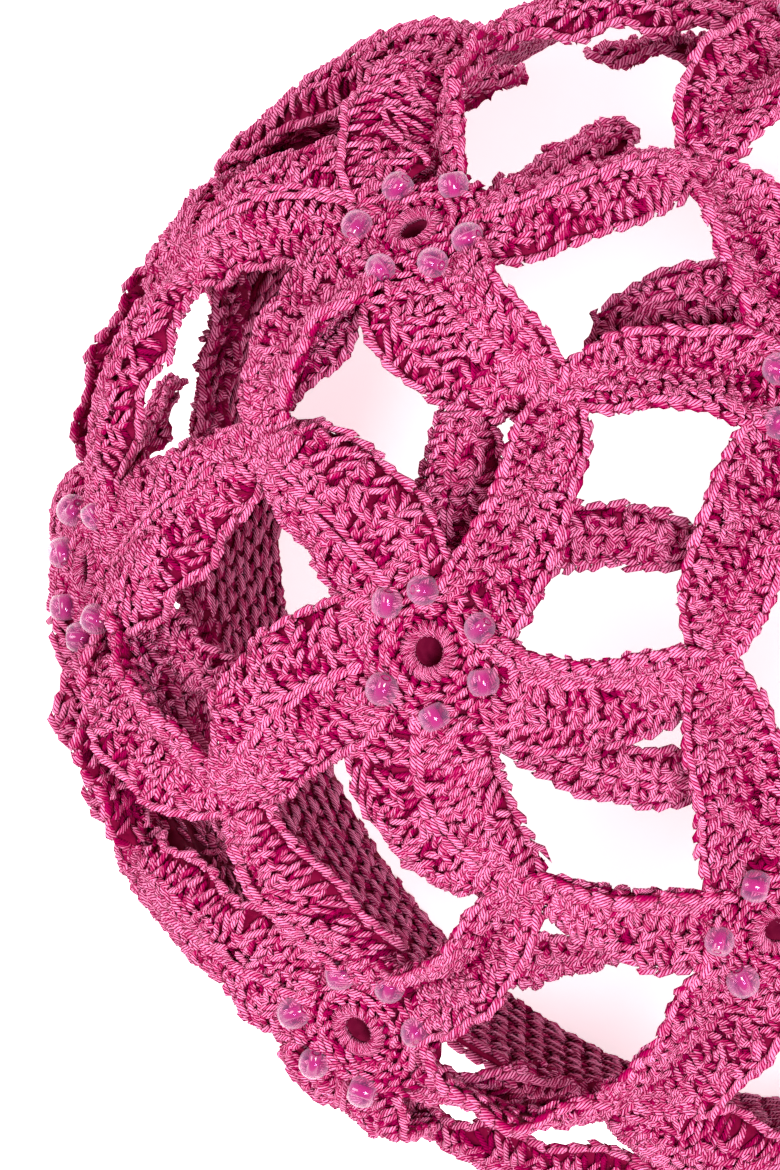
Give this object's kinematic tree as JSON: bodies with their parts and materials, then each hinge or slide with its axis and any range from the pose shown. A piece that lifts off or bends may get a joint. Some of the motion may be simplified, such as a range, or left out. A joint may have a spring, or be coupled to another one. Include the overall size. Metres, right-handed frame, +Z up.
{
  "type": "crochet hat",
  "caption": "Openwork crocheted hat: a head-sized dome of joined flower motifs with ringed centres and two layers of folded petals, on a plain crocheted brim band.",
  "frame": {"origin": "centre of the brim band's bottom edge, on the surface that the hat rests on", "axes": "+Z up through the crown flower's centre; -Y is the side the picture looks from, steeply down"},
  "size_m": [0.1666, 0.1703, 0.1305],
  "materials": {
    "crochet_cord": "shiny twisted cord about 1 mm thick, crocheted firmly, rose pink with deep magenta shade between the stitches",
    "glass_beads": "clear glass seed beads with a rainbow lustre and a magenta lining in the hole"
  },
  "bodies": {
    "root": {"crown_flower": "crochet_cord", "upper_flower_1": "crochet_cord", "upper_flower_2": "crochet_cord", "upper_flower_3": "crochet_cord", "upper_flower_4": "crochet_cord", "upper_flower_5": "crochet_cord", "side_flower_1": "crochet_cord", "side_flower_2": "crochet_cord", "side_flower_3": "crochet_cord", "side_flower_4": "crochet_cord", "side_flower_5": "crochet_cord", "brim_band": "crochet_cord"}
  },
  "joints": []
}
